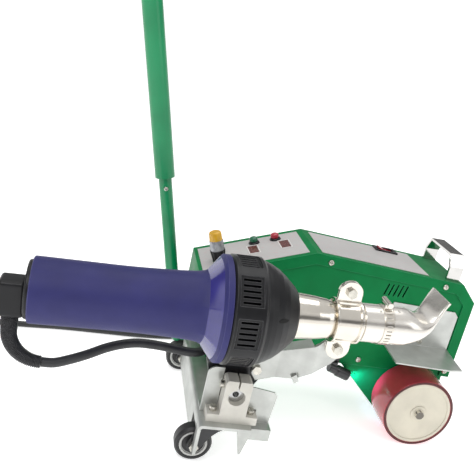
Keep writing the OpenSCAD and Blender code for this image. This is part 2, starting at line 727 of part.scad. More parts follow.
// One half of the saddle clamp, side is -1 near and 1 far
module half_clamp(side) on_gun() difference() {
  union() {
    intersection() {
      translate([0, 0, 91]) cylinder(h = 24, r = 20.2);
      translate([-40, side < 0 ? -40 : 0.5, 80]) cube([80, 39.5, 50]);
    }
    for (x = [-27, 27])
      translate([x, side < 0 ? -0.5 : 2.5, 103]) rotate([90, 0, 0]) {
        cylinder(h = 2, r = 11);
        translate([x < 0 ? 0 : -11, -11, 0]) cube([11, 22, 2]);
      }
  }
  translate([0, 0, 80]) cylinder(h = 12.4, r = 18.4);
  translate([0, 0, 80]) cylinder(h = 40, r = 16.4);
  translate([0, 0, 93]) difference() {
    cylinder(h = 20, r = 22);
    translate([0, 0, -1]) cylinder(h = 22, r = 18.3);
    for (x = [-27, 27])
      translate([x < 0 ? -48 : 16, -5, -1]) cube([32, 10, 22]);
  }
  for (x = [-28, 28])
    translate([x, 10, 103]) rotate([90, 0, 0]) cylinder(h = 20, r = 2.6);
}
module tube_clamps() color(zinc) { half_clamp(-1); half_clamp(1); }

module arm_bolts() color(steel) {
  on_gun() for (x = [-28, 28])
    translate([x, 0, 103]) rotate([90, 0, 0]) {
      translate([0, 0, -8.5]) cylinder(h = 11.6, r = 2.5);
      translate([0, 0, 2.52]) cylinder(h = 4, r = 8 / sqrt(3), $fn = 6);
      translate([0, 0, x < 0 ? -6.6 : -9.5]) cylinder(h = x < 0 ? 4 : 3.6, r = 8 / sqrt(3), $fn = 6);
    }
  y_rod(-5, 99, -68.3, -52, 2.5);
  y_hex(-5, 99, -72, -68.22, 8);
}

module handle_shell() color(blue) on_gun() rotate_extrude() polygon([
  [barrel_r - 3, -168], [barrel_r - 1, -168], [barrel_r, -166.5], [barrel_r - 0.4, -100],
  [barrel_r + 1.6, -36], [31, -25], [45.5, -14], [47, -12.4], [47, -7], [44.6, -7],
  [44.6, -10.6], [43.6, -12], [28.8, -23], [barrel_r - 0.9, -36], [barrel_r - 2.9, -100],
  [barrel_r - 3, -164]]);

module front_shell() color(black) on_gun() difference() {
  rotate_extrude() polygon([[44.3, -9], [44.3, -6.9], [46, -6.9], [ring_r, -5], [ring_r, 20],
    [45.5, 22.5], [44.6, 26], [42.6, 31], [39.4, 37], [35, 43], [30, 48.5], [26.4, 52.5],
    [24, 54.5], [20.9, 54.5], [20.9, 52.5], [27.2, 47.2], [32.3, 41.3], [36.6, 35.4], [39.8, 29.4],
    [41.6, 24], [42, 20], [42, -9]]);
  for (k = [0:7])
    rotate([0, 0, 45 * k]) {
      translate([45.2, -13.5, -2.5]) cube([5, 27, 20]);
      for (j = [-2:2])
        translate([40, 5 * j - 1.1, 0]) cube([10, 2.2, 15]);
    }
}

module heater_tube() color([0.8, 0.8, 0.8]) on_gun() rotate_extrude() polygon([
  [19.6, 48], [20.6, 48], [20.6, 58], [19.4, 74], [18, 84], [16.2, 92], [16, 94], [16, 150],
  [14.9, 150], [14.9, 94], [15.1, 92], [16.9, 84], [18.3, 74], [19.5, 58]]);

module heating_core() color([0.85, 0.8, 0.7]) on_gun() translate([0, 0, 60]) difference() {
  cylinder(h = 84, r = 13.4);
  for (a = [0:60:300])
    rotate([0, 0, a]) translate([8, 0, -1]) cylinder(h = 90, r = 2.4);
}

module fan_motor() color(steel) on_gun() difference() {
  union() {
    translate([0, 0, -130]) cylinder(h = 70, r = 19);
    for (a = [45:90:315])
      rotate([0, 0, a]) translate([18, -2, -122]) cube([6.6, 4, 40]);
  }
  translate([0, 0, -80]) cylinder(h = 21, r = 2.55);
}

module fan_impeller() color(black) on_gun() {
  translate([0, 0, -78]) cylinder(h = 58, r = 2.5);
  translate([0, 0, -54]) cylinder(h = 20, r = 7);
  translate([0, 0, -54]) cylinder(h = 1.6, r = 22);
  for (a = [0:45:315])
    rotate([0, 0, a]) translate([6, -0.7, -52.6]) cube([15.5, 1.4, 14]);
}

module hose_clamp() color(steel) on_gun() {
  difference() {
    translate([0, 0, 135.5]) cylinder(h = 9, r = 18.4);
    translate([0, 0, 135]) cylinder(h = 10, r = 17.42);
    for (a = [30:12:330])
      rotate([0, 0, a + 90]) translate([16, -0.6, 137.5]) cube([4, 1.2, 5]);
  }
  translate([-21, -5, 136.5]) cube([3.6, 10, 7]);
  translate([-21.4, 0, 140]) rotate([90, 0, 0]) translate([0, 0, -9]) cylinder(h = 17, r = 2.6);
}

// Nozzle: a round sleeve that bends up and flattens to a wide slot
nozzle_t = 1.2;
mouth_h = 4.4;
bend_from = [113, gun_y, 170.6];
mouth_at = [154.3, gun_y + 20, 198.3];
mouth_way = 62;
function nozzle_place(u) = let (a = bend_from, d = mouth_at,
    b = a + 26 * [cos(gun_pitch), 0, sin(gun_pitch)],
    c = d - 24 * [cos(mouth_way), 0, sin(mouth_way)], v = 1 - u)
  v * v * v * a + 3 * v * v * u * b + 3 * v * u * u * c + u * u * u * d;
function nozzle_angle(u) = gun_pitch + (mouth_way - gun_pitch) * (3 * u * u - 2 * u * u * u);
function blend(a, b, u) = a + (b - a) * u;
function oval(place, angle, half_w, half_h, power, n) = [for (k = [0:n - 1])
  let (t = 360 * k / n, c = cos(t), s = sin(t),
    w = half_w * sign(c) * pow(abs(c), power), h = half_h * sign(s) * pow(abs(s), power))
  place + [-h * sin(angle), w, h * cos(angle)]];
function nozzle_rings(thin, n) = concat(
  [for (s = [118, 128, 138, 148]) let (r = 17.4 - thin)
    oval(gun_at + s * [cos(gun_pitch), 0, sin(gun_pitch)], gun_pitch, r, r, 1, n)],
  [for (i = [0:12]) let (u = i / 12, q = 3 * u * u - 2 * u * u * u)
    oval(nozzle_place(u), nozzle_angle(u), blend(17.4, mouth_w / 2, q) - thin,
      blend(17.4, mouth_h / 2, sin(90 * min(1, 1.15 * u))) - thin * blend(1, 0.7, u),
      blend(1, 0.45, q), n)]);
module nozzle() color([0.82, 0.82, 0.82]) {
  n = 32;
  outer = nozzle_rings(0, n);
  inner = nozzle_rings(nozzle_t, n);
  m = len(outer);
  points = concat([for (r = outer) each r], [for (r = inner) each r]);
  off = m * n;
  polyhedron(points, concat(
    [for (i = [0:m - 2], k = [0:n - 1]) let (a = i * n + k, b = i * n + (k + 1) % n)
      each [[a, b, a + n], [b, b + n, a + n]]],
    [for (i = [0:m - 2], k = [0:n - 1]) let (a = off + i * n + k, b = off + i * n + (k + 1) % n)
      each [[b, a, a + n], [b, a + n, b + n]]],
    [for (k = [0:n - 1]) let (j = (k + 1) % n) each [[j, k, off + k], [j, off + k, off + j]]],
    [for (k = [0:n - 1]) let (e = (m - 1) * n, j = (k + 1) % n)
      each [[e + k, e + j, off + e + j], [e + k, off + e + j, off + e + k]]]));
}

module rear_connector() color(black) on_gun() {
  difference() {
    translate([0, 0, -172]) cylinder(h = 10, r = barrel_r - 3.1);
    translate([0, 0, -169]) cylinder(h = 10, r = barrel_r - 6);
  }
  translate([-9, -11, -193]) cube([32, 22, 21.1]);
  translate([22.9, 0, -183]) rotate([0, 90, 0]) cylinder(h = 16, r1 = 7.6, r2 = 6.6);
  translate([38.8, 0, -155]) rotate([90, 0, 0]) rotate([0, 0, -90])
    rotate_extrude(angle = 90) translate([28, 0]) circle(6.2);
}

module at_place() translate(place) children();

at_place() platform();
at_place() chassis_bolts();
at_place() caster_forks();
at_place() clamp_block();
at_place() guide_shaft();
at_place() shaft_flange();
at_place() guide_bracket();
at_place() pointer();
at_place() side_panel();
at_place() top_cover();
at_place() base_tray();
at_place() cover_screws();
at_place() control_overlays();
at_place() display_windows();
at_place() panel_bezels();
at_place() carry_handle();
at_place() chain_case();
at_place() roller_bearings();
at_place() drive_chain();
at_place() gear_motor();
at_place() heat_shield();
at_place() lamp_body();
at_place() lamp_lens();
at_place() control_board();
at_place() power_supply();
at_place() pole_bracket();
at_place() pole_rod();
at_place() cable_grommet();
at_place() cord_gland();
at_place() power_cord();
at_place() cord_coil();
at_place() power_plug();
at_place() near_wheel();
at_place() far_wheel();
at_place() roller_tread();
at_place() roller_hub();
at_place() roller_sprocket();
at_place() motor_sprocket();
at_place() start_button();
at_place() stop_button();
at_place() rocker();
at_place() speed_knob();
at_place() pole_tube();
at_place() pole_grip();
at_place() snap_button();
at_place() slide_bush();
at_place() gun_cable();
at_place() swing_arm();
at_place() pivot_yoke();
at_place() tube_clamps();
at_place() arm_bolts();
at_place() handle_shell();
at_place() front_shell();
at_place() heater_tube();
at_place() heating_core();
at_place() fan_motor();
at_place() fan_impeller();
at_place() hose_clamp();
at_place() nozzle();
at_place() rear_connector();
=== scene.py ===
"""Self-propelled hot-air seam welder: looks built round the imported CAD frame, in metres."""
import json
import math

import bmesh
import bpy
from mathutils import Matrix, Vector


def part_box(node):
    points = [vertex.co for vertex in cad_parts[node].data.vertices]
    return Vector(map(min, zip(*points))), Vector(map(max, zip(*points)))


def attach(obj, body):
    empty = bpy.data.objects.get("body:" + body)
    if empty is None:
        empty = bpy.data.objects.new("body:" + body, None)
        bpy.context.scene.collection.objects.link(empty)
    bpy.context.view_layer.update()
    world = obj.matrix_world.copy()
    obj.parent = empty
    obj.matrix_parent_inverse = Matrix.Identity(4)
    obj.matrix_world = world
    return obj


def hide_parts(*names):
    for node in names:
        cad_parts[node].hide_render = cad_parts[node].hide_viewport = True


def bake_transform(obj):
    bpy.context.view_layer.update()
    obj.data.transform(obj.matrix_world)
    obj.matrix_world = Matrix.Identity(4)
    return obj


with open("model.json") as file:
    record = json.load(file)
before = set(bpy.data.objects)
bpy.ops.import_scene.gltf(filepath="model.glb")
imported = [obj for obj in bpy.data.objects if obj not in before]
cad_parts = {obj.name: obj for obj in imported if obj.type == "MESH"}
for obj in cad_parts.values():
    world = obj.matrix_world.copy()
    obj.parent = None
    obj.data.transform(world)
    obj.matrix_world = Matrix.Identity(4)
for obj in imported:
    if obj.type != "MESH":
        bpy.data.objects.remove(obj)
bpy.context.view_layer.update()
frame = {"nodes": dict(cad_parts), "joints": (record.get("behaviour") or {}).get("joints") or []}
nodes = frame["nodes"]
joints = {j["name"]: j for j in frame["joints"]}
MM = 0.001


# ---------- places taken from the frame ----------

def joint_point(name):
    return Vector(joints[name]["pos_m"])


def joint_axis(name):
    return Vector(joints[name]["axis"]).normalized()


def axes(origin, z_axis, y_axis):
    """A matrix that puts local z along z_axis at origin, with local y near y_axis."""
    z = Vector(z_axis).normalized()
    x = Vector(y_axis).cross(z).normalized()
    y = z.cross(x)
    m = Matrix((x, y, z)).transposed().to_4x4()
    m.translation = origin
    return m


FAN_OFFSET = 0.054
gun_way = joint_axis("fan_spin")
gun_at = joint_point("fan_spin") + FAN_OFFSET * gun_way
GUN = axes(gun_at, gun_way, (0, 1, 0))
ROOF_Y = (0, 1, 0)


# ---------- camera ----------

def make_camera():
    data = bpy.data.cameras.new("camera")
    data.lens = 50.43
    data.sensor_width = 36
    camera = bpy.data.objects.new("camera", data)
    right = Vector((0.966, -0.1441, 0.2140)).normalized()
    forward = Vector((0.2067, 0.9290, -0.3070)).normalized()
    up = right.cross(forward).normalized()
    right = forward.cross(up).normalized()
    m = Matrix((right, up, -forward)).transposed().to_4x4()
    m.translation = (-0.170, -0.588, 0.400)
    camera.matrix_world = m
    bpy.context.scene.collection.objects.link(camera)
    bpy.context.scene.camera = camera


make_camera()


# ---------- mesh helpers ----------

def new_object(name, verts, faces, place=None, sharp=32):
    mesh = bpy.data.meshes.new(name)
    mesh.from_pydata([tuple(v) for v in verts], [], faces)
    if place is not None:
        mesh.transform(place)
    tidy_mesh(mesh, sharp)
    obj = bpy.data.objects.new(name, mesh)
    bpy.context.scene.collection.objects.link(obj)
    return obj


def tidy_mesh(mesh, sharp):
    bm = bmesh.new()
    bm.from_mesh(mesh)
    bmesh.ops.remove_doubles(bm, verts=bm.verts, dist=1e-7)
    bmesh.ops.recalc_face_normals(bm, faces=bm.faces)
    bm.to_mesh(mesh)
    bm.free()
    mesh.polygons.foreach_set("use_smooth", [True] * len(mesh.polygons))
    mesh.set_sharp_from_angle(angle=math.radians(sharp))
    mesh.update()


def rounded(profile, radius, steps=4):
    """A closed outline with every corner rounded, for a lathe or an extrusion."""
    out = []
    n = len(profile)
    for i in range(n):
        a, b, c = Vector(profile[i - 1]), Vector(profile[i]), Vector(profile[(i + 1) % n])
        u, v = a - b, c - b
        r = min(radius, 0.45 * u.length, 0.45 * v.length)
        p, q = b + u.normalized() * r, b + v.normalized() * r
        for k in range(steps + 1):
            t = k / steps
            out.append((1 - t) ** 2 * p + 2 * t * (1 - t) * b + t * t * q)
    return out


def lathe(name, profile, place, segments=96, wave=None, sharp=32):
    """Turns a closed (radius, z) outline about z. wave(angle, r, z) may move the radius."""
    verts, faces = [], []
    n = len(profile)
    for i in range(segments):
        a = 2 * math.pi * i / segments
        for r, z in profile:
            rr = wave(a, r, z) if wave else r
            verts.append((rr * math.cos(a), rr * math.sin(a), z))
    for i in range(segments):
        j = (i + 1) % segments
        for k in range(n):
            m = (k + 1) % n
            if profile[k][0] < 1e-9 and profile[m][0] < 1e-9:
                continue
            faces.append((i * n + k, j * n + k, j * n + m, i * n + m))
    return new_object(name, verts, faces, place, sharp)


def extrude(name, outline, z0, z1, place, sharp=32):
    """A flat outline in local x, y, raised from z0 to z1."""
    n = len(outline)
    verts = [(x, y, z) for z in (z0, z1) for x, y in outline]
    faces = [tuple(reversed(range(n))), tuple(range(n, 2 * n))]
    faces += [(k, (k + 1) % n, n + (k + 1) % n, n + k) for k in range(n)]
    return new_object(name, verts, faces, place, sharp)


def sweep(name, path, radius, sides=20, place=None, radius_at=None, sharp=40):
    """A closed round tube along points; radius_at(i) may change the radius."""
    points = [Vector(p) for p in path]
    verts, faces = [], []
    normal = None
    for i, p in enumerate(points):
        a, b = points[max(i - 1, 0)], points[min(i + 1, len(points) - 1)]
        t = (b - a).normalized()
        if normal is None:
            normal = t.orthogonal().normalized()
        normal = (normal - t * normal.dot(t)).normalized()
        other = t.cross(normal)
        r = radius_at(i) if radius_at else radius
        for k in range(sides):
            c = 2 * math.pi * k / sides
            verts.append(p + r * (math.cos(c) * normal + math.sin(c) * other))
    for i in range(len(points) - 1):
        for k in range(sides):
            m = (k + 1) % sides
            faces.append((i * sides + k, i * sides + m, (i + 1) * sides + m, (i + 1) * sides + k))
    faces.append(tuple(reversed(range(sides))))
    last = (len(points) - 1) * sides
    faces.append(tuple(range(last, last + sides)))
    return new_object(name, verts, faces, place, sharp)


def join(name, pieces):
    """Joins meshes into one, keeping each one's materials."""
    bpy.ops.object.select_all(action="DESELECT")
    for p in pieces:
        p.select_set(True)
    bpy.context.view_layer.objects.active = pieces[0]
    bpy.ops.object.join()
    pieces[0].name = name
    return pieces[0]


def catmull(points, steps):
    """A smooth line through points."""
    pts = [Vector(p) for p in points]
    out = []
    for i in range(len(pts) - 1):
        a, b = pts[max(i - 1, 0)], pts[i]
        c, d = pts[i + 1], pts[min(i + 2, len(pts) - 1)]
        for k in range(steps):
            t = k / steps
            out.append(0.5 * (2 * b + (c - a) * t + (2 * a - 5 * b + 4 * c - d) * t * t
                              + (3 * b - a - 3 * c + d) * t ** 3))
    return out + [pts[-1]]


# ---------- cords ----------

ROW = Vector((0, 12, 0))


def in_row(points):
    return [(Vector(p) + ROW) * MM for p in points]


CORD_D = 0.007
cord_route = in_row([
    (10, 116.3, 84), (10, 126, 84), (9, 138, 81), (7, 148, 74), (3, 156, 62),
    (-2, 161, 47), (-8, 164, 32), (-15, 165, 19), (-24, 165, 10), (-35, 163, 5),
    (-48, 160, 3.5), (-64, 156, 3.5), (-84, 153, 3.5), (-106, 151, 3.5), (-130, 150, 3.5),
    (-155, 149, 3.5), (-180, 148, 3.5), (-205, 146, 3.5), (-228, 143, 3.5), (-250, 141, 3.5),
    (-270, 140, 3.5), (-290, 140, 3.5)])
COIL_AT = (Vector((-310, 91, 0)) + ROW) * MM
COIL_R = (0.0476, 0.0411, 0.0346)
COIL_TURNS = 6.25
COIL_STEPS = 24


def coil_level(turn):
    """Radius and height of a whole turn: layers of three turns, wound in and out by turns."""
    layer, place = divmod(turn, 3)
    radius = COIL_R[place if layer % 2 == 0 else 2 - place]
    return radius, CORD_D * (layer + 0.5)


def coil_points():
    points = []
    count = int(COIL_TURNS * COIL_STEPS)
    for i in range(count + 1):
        turn, part = divmod(i, COIL_STEPS)
        u = max(0.0, (part / COIL_STEPS - 0.8) / 0.2)
        s = u * u * (3 - 2 * u)
        r0, z0 = coil_level(turn)
        r1, z1 = coil_level(turn + 1)
        r, z = r0 + (r1 - r0) * s, z0 + (z1 - z0) * s
        a = math.pi / 2 + 2 * math.pi * i / COIL_STEPS
        points.append(COIL_AT + Vector((r * math.cos(a), r * math.sin(a), z)))
    return points


plug_low, plug_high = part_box("power_plug")
PLUG_Z = 0.008
plug_y = (plug_low.y + plug_high.y) / 2
TAIL_R = 0.028
turn_at = Vector((plug_low.x + 0.0005, plug_y + TAIL_R, PLUG_Z))
tail = [COIL_AT + Vector((-COIL_R[0], -0.012, 0.0168)),
        COIL_AT + Vector((-COIL_R[0] + 0.0004, -0.024, 0.0146))]
for degrees in (188, 206, 224, 242, 257, 270):
    swing = math.radians(degrees)
    drop = (270 - degrees) / 90
    tail.append(turn_at + Vector((TAIL_R * math.cos(swing), TAIL_R * math.sin(swing), 0.0048 * drop * drop)))
cord_line = list(cord_route) + coil_points() + [Vector(p) for p in tail]


def round_curve(name, points, diameter):
    data = bpy.data.curves.new(name, "CURVE")
    data.dimensions = "3D"
    data.bevel_depth = diameter / 2
    data.bevel_resolution = 4
    data.use_fill_caps = True
    data.resolution_u = 4
    spline = data.splines.new("BEZIER")
    spline.bezier_points.add(len(points) - 1)
    for bp, p in zip(spline.bezier_points, points):
        bp.co = p
        bp.handle_left_type = bp.handle_right_type = "AUTO"
    obj = bpy.data.objects.new(name, data)
    bpy.context.scene.collection.objects.link(obj)
    return obj


mains_cord = round_curve("mains_cord", cord_line, CORD_D)
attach(mains_cord, "machine")
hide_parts("power_cord", "cord_coil")

GUN_CORD_D = 0.0084
gun_route = in_row([
    (-198, -86, 91.6), (-187, -85.5, 92), (-174, -82, 95), (-160, -77, 99), (-146, -70, 103),
    (-132, -65, 106), (-118, -61, 107), (-104, -58.5, 106), (-92, -57, 104.5), (-82, -56.4, 103),
    (-72, -55.6, 101.5), (-63.4, -53.8, 100.6), (-56.4, -49.4, 100), (-51.7, -42.4, 100),
    (-50, -34, 100), (-50, -24, 100), (-50, -10, 100), (-50, 6, 100), (-50, 18, 100),
    (-50, 30, 100)])
gun_line = catmull(gun_route, 8)
gun_lead = sweep("gun_lead", gun_line, GUN_CORD_D / 2, sides=24)
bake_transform(gun_lead)
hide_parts("gun_cable")


# ---------- materials ----------

def node(tree, kind, **inputs):
    n = tree.nodes.new(kind)
    for key, value in inputs.items():
        n.inputs[key.replace("_", " ")].default_value = value
    return n


def ramp(tree, fac, low, high, dark, light):
    r = tree.nodes.new("ShaderNodeValToRGB")
    r.color_ramp.elements[0].position = low
    r.color_ramp.elements[1].position = high
    r.color_ramp.elements[0].color = (*dark, 1)
    r.color_ramp.elements[1].color = (*light, 1)
    tree.links.new(fac, r.inputs["Fac"])
    return r.outputs["Color"]


def mix(tree, fac, a, b):
    m = tree.nodes.new("ShaderNodeMix")
    m.data_type = "RGBA"
    tree.links.new(fac, m.inputs["Factor"])
    for value, socket in ((a, m.inputs["A"]), (b, m.inputs["B"])):
        if hasattr(value, "is_linked"):
            tree.links.new(value, socket)
        else:
            socket.default_value = (*value, 1)
    return m.outputs["Result"]


def math_node(tree, kind, a, b):
    m = tree.nodes.new("ShaderNodeMath")
    m.operation = kind
    for value, socket in ((a, m.inputs[0]), (b, m.inputs[1])):
        if hasattr(value, "is_linked"):
            tree.links.new(value, socket)
        else:
            socket.default_value = value
    return m.outputs[0]


def noise(tree, where, scale, detail=3.0, stretch=None):
    if stretch:
        mapping = tree.nodes.new("ShaderNodeMapping")
        mapping.inputs["Scale"].default_value = stretch
        tree.links.new(where, mapping.inputs["Vector"])
        where = mapping.outputs["Vector"]
    n = node(tree, "ShaderNodeTexNoise", Scale=scale, Detail=detail)
    tree.links.new(where, n.inputs["Vector"])
    return n.outputs["Fac"]


def surface(name, colour, metallic=0.0, rough=0.4, vary=0.10, patch=45, rough_vary=0.08, grain=900,
            bump=0.04, edge=0.0006, wear=None, wear_amount=0.6, coat=0.0, stretch=None, sheen=0.0,
            extra=None, emission=None, specular=0.5):
    """A procedural finish: patchy colour, varied gloss, fine grain and rubbed edges."""
    material = bpy.data.materials.new(name)
    material.use_nodes = True
    tree = material.node_tree
    shader = tree.nodes["Principled BSDF"]
    where = tree.nodes.new("ShaderNodeTexCoord").outputs["Object"]
    dark = tuple(max(0.0, c * (1 - vary)) for c in colour)
    light = tuple(min(1.0, c * (1 + vary)) for c in colour)
    base = ramp(tree, noise(tree, where, patch), 0.35, 0.68, dark, light)
    if extra:
        base = extra(tree, where, base)
    corner = node(tree, "ShaderNodeBevel", Radius=edge)
    corner.samples = 6
    if wear:
        flat = tree.nodes.new("ShaderNodeNewGeometry").outputs["Normal"]
        dot = tree.nodes.new("ShaderNodeVectorMath")
        dot.operation = "DOT_PRODUCT"
        tree.links.new(corner.outputs["Normal"], dot.inputs[0])
        tree.links.new(flat, dot.inputs[1])
        bent = math_node(tree, "SUBTRACT", 1.0, dot.outputs["Value"])
        rubbed = math_node(tree, "MULTIPLY", bent, math_node(tree, "MULTIPLY", noise(tree, where, 260), 9.0))
        mask = math_node(tree, "MINIMUM", math_node(tree, "MULTIPLY", rubbed, wear_amount), wear_amount)
        base = mix(tree, mask, base, wear)
    tree.links.new(base, shader.inputs["Base Color"])
    shader.inputs["Metallic"].default_value = metallic
    shader.inputs["Coat Weight"].default_value = coat
    shader.inputs["Coat Roughness"].default_value = 0.12
    shader.inputs["Sheen Weight"].default_value = sheen
    shader.inputs["Specular IOR Level"].default_value = specular
    gloss = tree.nodes.new("ShaderNodeMapRange")
    gloss.inputs["To Min"].default_value = max(0.02, rough - rough_vary)
    gloss.inputs["To Max"].default_value = min(1.0, rough + rough_vary)
    tree.links.new(noise(tree, where, patch * 2.3, stretch=stretch), gloss.inputs["Value"])
    tree.links.new(gloss.outputs["Result"], shader.inputs["Roughness"])
    relief = node(tree, "ShaderNodeBump", Strength=bump, Distance=0.0004)
    tree.links.new(noise(tree, where, grain, 2.0, stretch), relief.inputs["Height"])
    tree.links.new(corner.outputs["Normal"], relief.inputs["Normal"])
    tree.links.new(relief.outputs["Normal"], shader.inputs["Normal"])
    if emission:
        shader.inputs["Emission Color"].default_value = (*emission[0], 1)
        shader.inputs["Emission Strength"].default_value = emission[1]
    return material


def rubber_dust(tree, where, base):
    return mix(tree, math_node(tree, "MULTIPLY", noise(tree, where, 70), 0.12), base, (0.12, 0.12, 0.12))


def wheel_rim(joint, inner, outer, shade=(0.55, 0.55, 0.53)):
    """A ring of another shade on a wheel's sides, or a disc when inner is below zero."""
    hub = joint_point(joint)

    def paint(tree, where, base):
        away = tree.nodes.new("ShaderNodeVectorMath")
        away.operation = "SUBTRACT"
        away.inputs[1].default_value = hub
        tree.links.new(where, away.inputs[0])
        flat = tree.nodes.new("ShaderNodeVectorMath")
        flat.operation = "MULTIPLY"
        flat.inputs[1].default_value = (1, 0, 1)
        tree.links.new(away.outputs["Vector"], flat.inputs[0])
        size = tree.nodes.new("ShaderNodeVectorMath")
        size.operation = "LENGTH"
        tree.links.new(flat.outputs["Vector"], size.inputs[0])
        over = math_node(tree, "GREATER_THAN", size.outputs["Value"], inner)
        under = math_node(tree, "LESS_THAN", size.outputs["Value"], outer)
        return mix(tree, math_node(tree, "MULTIPLY", over, under), rubber_dust(tree, where, base), shade)
    return paint


def print_lines(tree, where, base):
    """Faint generic marks on the panel film: soft pink blocks with no lettering."""
    spots = noise(tree, where, 210, 1.0, (1, 3, 1))
    mask = tree.nodes.new("ShaderNodeMapRange")
    mask.inputs["From Min"].default_value = 0.60
    mask.inputs["From Max"].default_value = 0.66
    mask.inputs["To Max"].default_value = 0.30
    tree.links.new(spots, mask.inputs["Value"])
    return mix(tree, mask.outputs["Result"], base, (0.62, 0.36, 0.38))


def brushed_marks(tree, where, base):
    streak = noise(tree, where, 300, 2.0, (0.15, 1, 3))
    return mix(tree, math_node(tree, "MULTIPLY", streak, 0.25), base, (0.45, 0.44, 0.42))


def heat_tint(tree, where, base):
    tone = noise(tree, where, 38, 2.0)
    return mix(tree, math_node(tree, "MULTIPLY", tone, 0.35), base, (0.62, 0.53, 0.42))


green = surface("green_coat", (0.0002, 0.185, 0.050), rough=0.42, vary=0.10, patch=30, grain=1500,
                bump=0.10, wear=(0.07, 0.42, 0.20), wear_amount=0.75, coat=0.0, specular=0.12, edge=0.0009)
green_pole = surface("green_pole_coat", (0.0008, 0.250, 0.090), rough=0.32, vary=0.12, patch=22, grain=1300,
                     bump=0.08, wear=(0.08, 0.40, 0.22), coat=0.15)
zinc = surface("zinc_sheet", (0.56, 0.575, 0.55), metallic=0.75, rough=0.40, vary=0.10, patch=60,
               rough_vary=0.10, grain=700, bump=0.10, wear=(0.85, 0.86, 0.84), extra=brushed_marks)
bolts = surface("bolt_steel", (0.60, 0.58, 0.52), metallic=1.0, rough=0.28, vary=0.16, patch=150,
                grain=1600, bump=0.05, wear=(0.9, 0.9, 0.88), edge=0.0003)
ground = surface("ground_steel", (0.50, 0.50, 0.50), metallic=1.0, rough=0.22, vary=0.10, patch=90,
                 grain=1200, bump=0.05, edge=0.0003, wear=(0.8, 0.8, 0.8))
cast = surface("cast_aluminium", (0.66, 0.64, 0.58), metallic=0.15, rough=0.46, vary=0.06, patch=80,
               grain=1000, bump=0.14, wear=(0.90, 0.90, 0.87), edge=0.0005)
black_steel = surface("black_steel", (0.014, 0.014, 0.016), rough=0.32, vary=0.25, patch=80, grain=900,
                      bump=0.08, wear=(0.16, 0.16, 0.16), coat=0.25)
black_plastic = surface("black_plastic", (0.0045, 0.0046, 0.006), rough=0.38, vary=0.25, patch=55, grain=1400,
                        bump=0.16, wear=(0.13, 0.13, 0.14), wear_amount=0.85, edge=0.0008, specular=0.35)
grey_film = surface("panel_film", (0.52, 0.51, 0.50), rough=0.38, vary=0.04, patch=24, grain=800,
                    bump=0.03, extra=print_lines, edge=0.0002)
window = surface("display_red", (0.16, 0.055, 0.05), rough=0.16, vary=0.30, patch=420, grain=300,
                 bump=0.02, coat=0.6, edge=0.0002)
polished = surface("polished_strap", (0.62, 0.61, 0.59), metallic=1.0, rough=0.10, vary=0.05, patch=50,
                   rough_vary=0.05, grain=500, bump=0.03, wear=(0.9, 0.9, 0.88), edge=0.0006)
hot = surface("hot_steel", (0.80, 0.765, 0.70), metallic=1.0, rough=0.16, vary=0.06, patch=40,
              rough_vary=0.06, grain=600, bump=0.04, wear=(0.95, 0.94, 0.92), extra=heat_tint)
nozzle_steel = surface("nozzle_steel", (0.86, 0.84, 0.80), metallic=0.85, rough=0.24, vary=0.05, patch=35,
                       grain=700, bump=0.05, wear=(0.95, 0.94, 0.92), extra=heat_tint)
motor_paint = surface("motor_steel", (0.16, 0.16, 0.17), metallic=0.5, rough=0.42, vary=0.15, patch=60,
                      wear=(0.45, 0.45, 0.45))
lens = surface("lamp_glass", (0.75, 0.86, 1.0), rough=0.08, vary=0.04, patch=200, grain=200, bump=0.01,
               emission=((0.62, 0.78, 1.0), 9.0), edge=0.0002)
board = surface("board", (0.01, 0.12, 0.045), rough=0.35, vary=0.30, patch=220, grain=600, bump=0.1, coat=0.3)
rubber = surface("black_rubber", (0.018, 0.018, 0.018), rough=0.62, vary=0.30, patch=70, grain=1300,
                 bump=0.22, extra=rubber_dust, edge=0.0005)
cord_skin = surface("cord_rubber", (0.020, 0.021, 0.023), rough=0.48, vary=0.30, patch=60, grain=1100,
                    bump=0.16, extra=rubber_dust, edge=0.0003)
near_tyre, far_tyre = [
    surface(name, (0.010, 0.010, 0.011), rough=0.42, vary=0.30, patch=90, grain=1000, bump=0.18,
            extra=wheel_rim(joint, 0.0108, 0.0134), wear=(0.10, 0.10, 0.10))
    for name, joint in (("near_wheel_black", "near_wheel_spin"), ("far_wheel_black", "far_wheel_spin"))]
silicone = surface("silicone_red", (0.47, 0.028, 0.050), rough=0.20, vary=0.14, patch=38, grain=700,
                   bump=0.07, coat=0.55, edge=0.0008, sheen=0.1)
cream = surface("hub_paint", (0.70, 0.655, 0.54), metallic=0.1, rough=0.40, vary=0.06, patch=42, grain=900,
                bump=0.08, wear=(0.86, 0.83, 0.74), edge=0.0006,
                extra=wheel_rim("roller_spin", -1, 0.0046, (0.16, 0.145, 0.12)))
green_cap = surface("green_button", (0.0, 0.13, 0.055), rough=0.16, vary=0.10, patch=200, coat=0.6, bump=0.02)
red_cap = surface("red_button", (0.42, 0.012, 0.035), rough=0.16, vary=0.10, patch=200, coat=0.6, bump=0.02)
amber = surface("knob_amber", (0.72, 0.40, 0.025), rough=0.24, vary=0.10, patch=160, coat=0.4, bump=0.04)
knurl = surface("knob_knurl", (0.42, 0.43, 0.45), metallic=0.9, rough=0.30, vary=0.12, patch=220, bump=0.05)
bronze = surface("bronze", (0.48, 0.30, 0.10), metallic=1.0, rough=0.32, vary=0.12, patch=90)
blue = surface("blue_grip", (0.023, 0.023, 0.125), rough=0.52, vary=0.10, patch=34, rough_vary=0.06,
               grain=2400, bump=0.30, wear=(0.22, 0.21, 0.46), wear_amount=0.7, edge=0.0009, specular=0.35)
blue_gloss = surface("blue_gloss", (0.030, 0.026, 0.200), rough=0.14, vary=0.10, patch=60, grain=500,
                     bump=0.02, wear=(0.30, 0.28, 0.60), coat=0.5)
